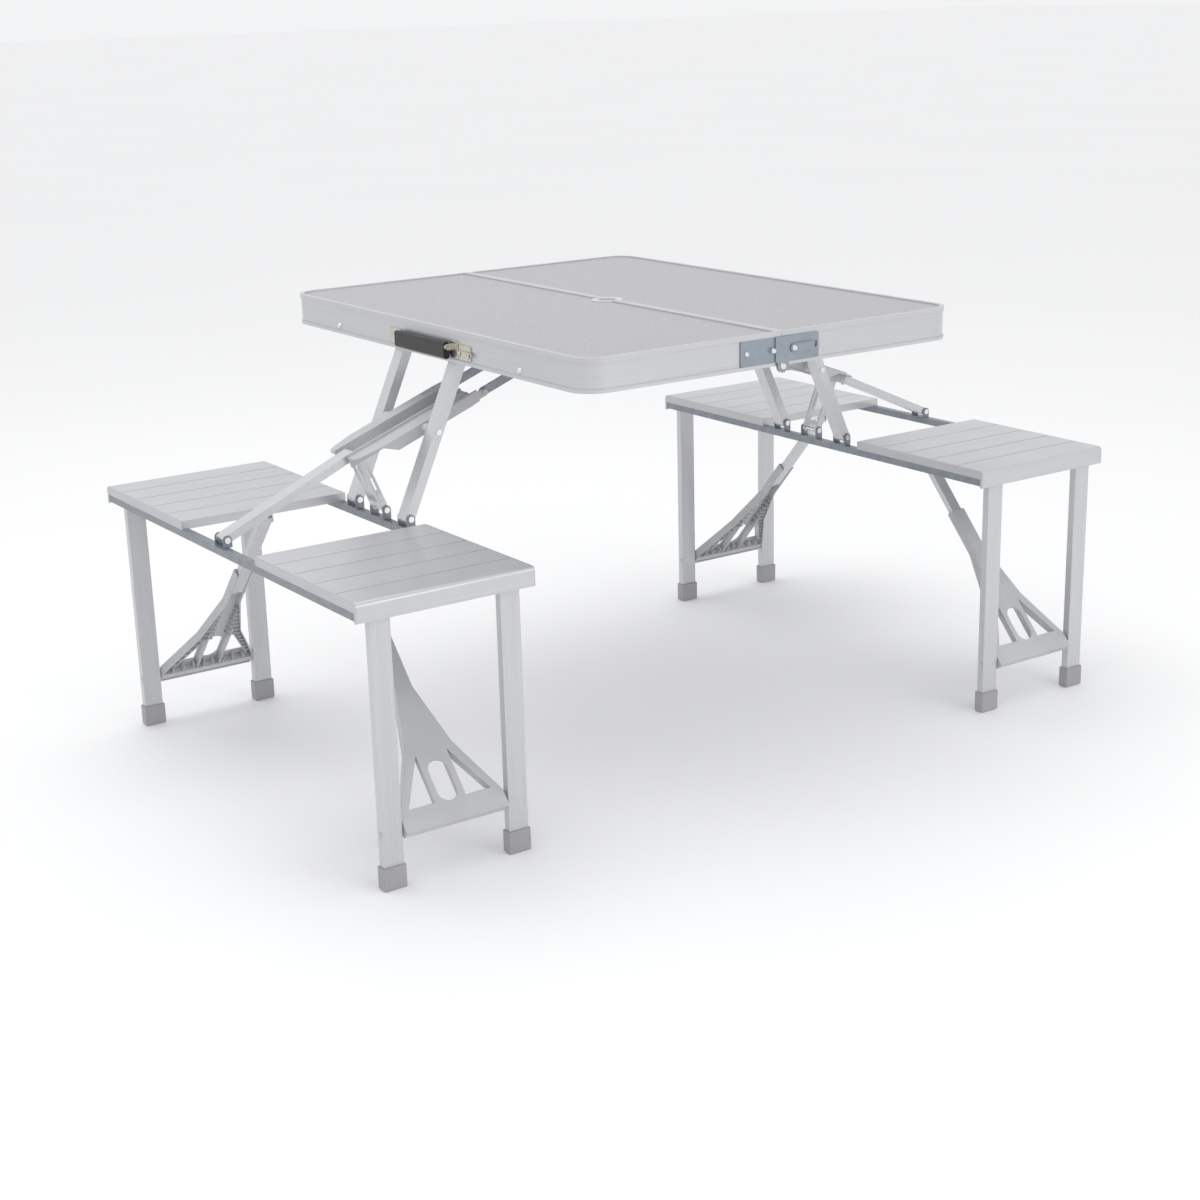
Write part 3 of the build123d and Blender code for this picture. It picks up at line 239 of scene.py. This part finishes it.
def add_box(mesh, axes, middle, size, turn=0):
    """Add a box to the mesh, its middle and size in mm in the given axes, turned about their z."""
    place = Matrix.Translation(Vector(middle) * MM)
    shape = Matrix.Diagonal((*(Vector(size) * MM), 1))
    bmesh.ops.create_cube(mesh, size=1, matrix=axes @ place @ Matrix.Rotation(turn, 4, "Z") @ shape)


def keep_piece(name, mesh, slot, body):
    """Turn the mesh into a named piece with its finish, riding on a body of the frame."""
    data = bpy.data.meshes.new(name)
    mesh.to_mesh(data)
    mesh.free()
    data.materials.append(MATERIALS[slot])
    piece = bpy.data.objects.new(name, data)
    bpy.context.scene.collection.objects.link(piece)
    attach(piece, body)


def brace_axes(side, end):
    """Axes at the brace knee: y towards the leg pins, z out of the leg yoke's top face."""
    along = Vector((0, end * (LEG_PIN_Y - KNEE_Y), LEG_PIN_Z - KNEE_Z)).normalized()
    out = Vector((0, end * (KNEE_Z - LEG_PIN_Z), LEG_PIN_Y - KNEE_Y)).normalized()
    turn = Matrix((along.cross(out), along, out)).transposed().to_4x4()
    knee = Vector((side * BENCH_MIDDLE, end * KNEE_Y, KNEE_Z)) * MM
    return Matrix.Translation(knee) @ turn


def yoke_half_width(reach):
    """Half the leg yoke's width inside its skirt, at a distance from the knee."""
    if reach < WAIST_REACH:
        part = (reach - FLARE_REACH) / (WAIST_REACH - FLARE_REACH)
        return NECK_INSIDE + part * (WAIST_INSIDE - NECK_INSIDE)
    part = (reach - WAIST_REACH) / (FOOT_REACH - WAIST_REACH)
    return WAIST_INSIDE + part * (FOOT_INSIDE - WAIST_INSIDE)


def opening_edge(reach):
    """Distance of a side opening's slanted edge from the middle line, none before it starts."""
    if reach < OPENING_START:
        return 0
    part = (reach - OPENING_START) / (OPENING_END - OPENING_START)
    return OPENING_INNER + part * (OPENING_OUTER - OPENING_INNER)


def build_yoke_ribs(name, side, end):
    """The lattice on the under side of a leg yoke: cross ribs, ribs along the openings, foot ribs."""
    axes = brace_axes(side, end)
    mesh = bmesh.new()
    reach = RIB_START
    while reach < OPENING_END:
        inner = max(TUBE_CHANNEL, opening_edge(reach) + RIB)
        outer = yoke_half_width(reach)
        for way in (-1, 1):
            middle = (way * (inner + outer) / 2, reach, 0)
            add_box(mesh, axes, middle, (outer - inner, RIB, RIB_DEPTH))
        reach += RIB_PITCH
    run = OPENING_END - OPENING_START
    spread = OPENING_OUTER - OPENING_INNER
    slant_size = (RIB, math.hypot(spread, run), RIB_DEPTH)
    for way in (-1, 1):
        sideways = way * ((OPENING_INNER + OPENING_OUTER) / 2 + RIB)
        middle = (sideways, (OPENING_START + OPENING_END) / 2, 0)
        add_box(mesh, axes, middle, slant_size, -way * math.atan2(spread, run))
        for step in range(FOOT_RIBS):
            middle = (way * (FOOT_RIB_START + FOOT_RIB_PITCH * step), FOOT_REACH, 0)
            add_box(mesh, axes, middle, (RIB, FOOT_RIB_LENGTH, RIB_DEPTH))
    keep_piece(f"{name}_yoke_ribs", mesh, "yoke_plastic", f"{name}_leg_yoke")


for side_name, side in SIDES.items():
    for end_name, end in ENDS.items():
        build_yoke_ribs(f"{side_name}_{end_name}", side, end)


# ---------------------------------------------------------------- stage


def aimed(azimuth, elevation, roll):
    """A camera's turn: it looks along its own -Z, with the picture's right along its X."""
    turn, tilt = math.radians(azimuth), math.radians(elevation)
    back = Vector((math.sin(turn) * math.cos(tilt), -math.cos(turn) * math.cos(tilt), math.sin(tilt)))
    right = Vector((math.cos(turn), math.sin(turn), 0))
    up = back.cross(right)
    level = Matrix((right, up, back)).transposed().to_4x4()
    return level @ Matrix.Rotation(math.radians(roll), 4, "Z")


def build_camera():
    data = bpy.data.cameras.new("camera")
    camera = bpy.data.objects.new("camera", data)
    bpy.context.scene.collection.objects.link(camera)
    data.sensor_width = 36
    data.angle = math.radians(CAMERA_FIELD)
    data.clip_end = 200
    camera.matrix_world = Matrix.Translation(CAMERA_PLACE) @ aimed(
        CAMERA_AZIMUTH, CAMERA_ELEVATION, CAMERA_ROLL
    )
    bpy.context.scene.camera = camera


def build_light(name, place, size, power):
    """A square soft box that faces the middle of the table."""
    data = bpy.data.lights.new(name, "AREA")
    data.size = size
    data.energy = power
    light = bpy.data.objects.new(name, data)
    bpy.context.scene.collection.objects.link(light)
    light.location = place
    light.rotation_euler = (Vector((0, 0, 0.35)) - Vector(place)).to_track_quat("-Z", "Y").to_euler()


def build_stage():
    """A plain pale floor, a pale world and two soft boxes."""
    bpy.ops.mesh.primitive_plane_add(size=120, location=(0, 0, 0))
    floor = bpy.context.object
    floor.name = "floor"
    pale = Surface("floor_paint", (0.97, 0.97, 0.97), 0, 0.7)
    pale.tint(pale.noise((0.7, 0.7, 0.7), 1), 0.995, 1.005)
    floor.data.materials.append(pale.material)
    world = bpy.data.worlds.new("studio")
    world.use_nodes = True
    world.node_tree.nodes["Background"].inputs["Color"].default_value = (0.97, 0.975, 0.985, 1)
    world.node_tree.nodes["Background"].inputs["Strength"].default_value = 0.92
    bpy.context.scene.world = world
    bpy.context.scene.view_settings.view_transform = "Standard"
    build_light("top_box", (-0.5, 0.6, 3.0), 2.2, 20)
    build_light("front_box", (0.9, -3.4, 1.7), 1.8, 15)


dress_cad_nodes()
build_camera()
build_stage()
